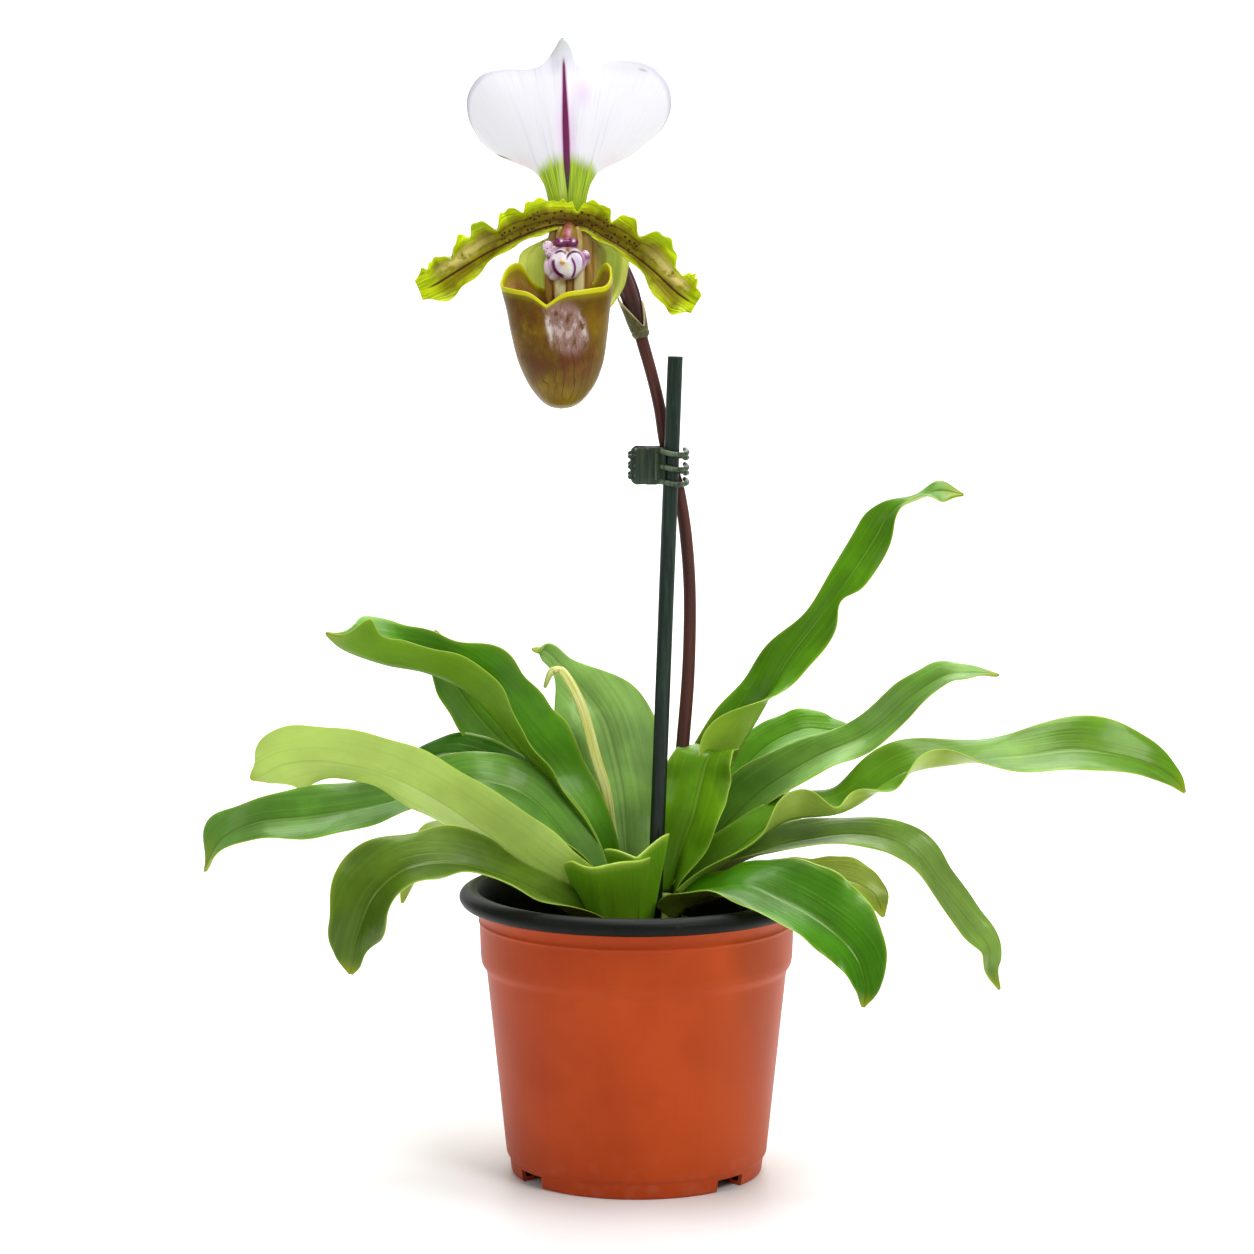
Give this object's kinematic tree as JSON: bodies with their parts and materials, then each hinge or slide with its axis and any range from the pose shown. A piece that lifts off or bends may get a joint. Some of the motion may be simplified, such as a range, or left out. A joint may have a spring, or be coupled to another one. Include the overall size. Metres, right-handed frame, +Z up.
{
  "type": "slipper orchid in a pot",
  "caption": "Slipper orchid in a plastic nursery pot: a fan of strap leaves and one flower on a stem held to a stake by a claw clip.",
  "frame": {"origin": "middle of the pot's base, on the ground", "axes": "+Z up, -Y towards the flower's face, +X to the right seen from the front"},
  "size_m": [0.3323, 0.1866, 0.3824],
  "materials": {
    "pot_plastic": "satin terracotta outside, black inside and at the rim",
    "bark_mix": "rough damp bark chips",
    "root": "matte, fleshy",
    "leaf": "satin upper face, paler underside",
    "young_leaf": "satin pale yellow",
    "stem": "matte purple-brown, finely hairy",
    "bract": "matte green-brown",
    "sepal_white": "white with a purple midline and a green base",
    "sepal_green": "pale green, veined",
    "petal": "glossy olive with lime edges and a maroon vein",
    "pouch": "glossy olive-brown with a yellow rim",
    "shield": "glossy white and purple with a yellow middle",
    "green_plastic": "dark green, glossy",
    "steel": "bright"
  },
  "bodies": {
    "plant": {"pot": "pot_plastic", "potting_mix": "bark_mix", "crown_and_roots": "root", "scape": "stem", "stake": "green_plastic", "pale_shoot": "young_leaf", "leaf_front_sheath": "leaf", "leaf_left_broad": "leaf", "leaf_front_right": "leaf", "leaf_left_drooping": "leaf", "leaf_centre_short": "leaf", "leaf_right_long": "leaf", "leaf_right_olive": "leaf", "leaf_right_drooping": "leaf", "leaf_far_left": "leaf", "leaf_right_mid": "leaf", "leaf_upper_right": "leaf", "leaf_right_short": "leaf", "leaf_upper_left": "leaf", "leaf_left_inner": "leaf", "leaf_left_behind": "leaf", "leaf_back_centre": "leaf", "leaf_back": "leaf", "leaf_back_left": "leaf", "leaf_back_right": "leaf", "leaf_back_low_left": "leaf", "ovary": "stem", "bract": "bract", "dorsal_sepal": "sepal_white", "synsepal": "sepal_green", "petal_left": "petal", "petal_right": "petal", "pouch": "pouch", "staminode": "shield", "clip_front_jaw": "green_plastic", "clip_pin": "steel", "clip_spring": "steel"},
    "rear_jaw": {"clip_rear_jaw": "green_plastic"}
  },
  "joints": [
    {"name": "clip_hinge", "type": "hinge", "parent": "plant", "child": "rear_jaw", "pos_m": [0.0049, -0.0026, 0.241], "axis": [0, 0, 1], "range_deg": [0, 40], "stiffness_Nm_per_rad": 0.01, "springref_deg": -57.3}
  ]
}
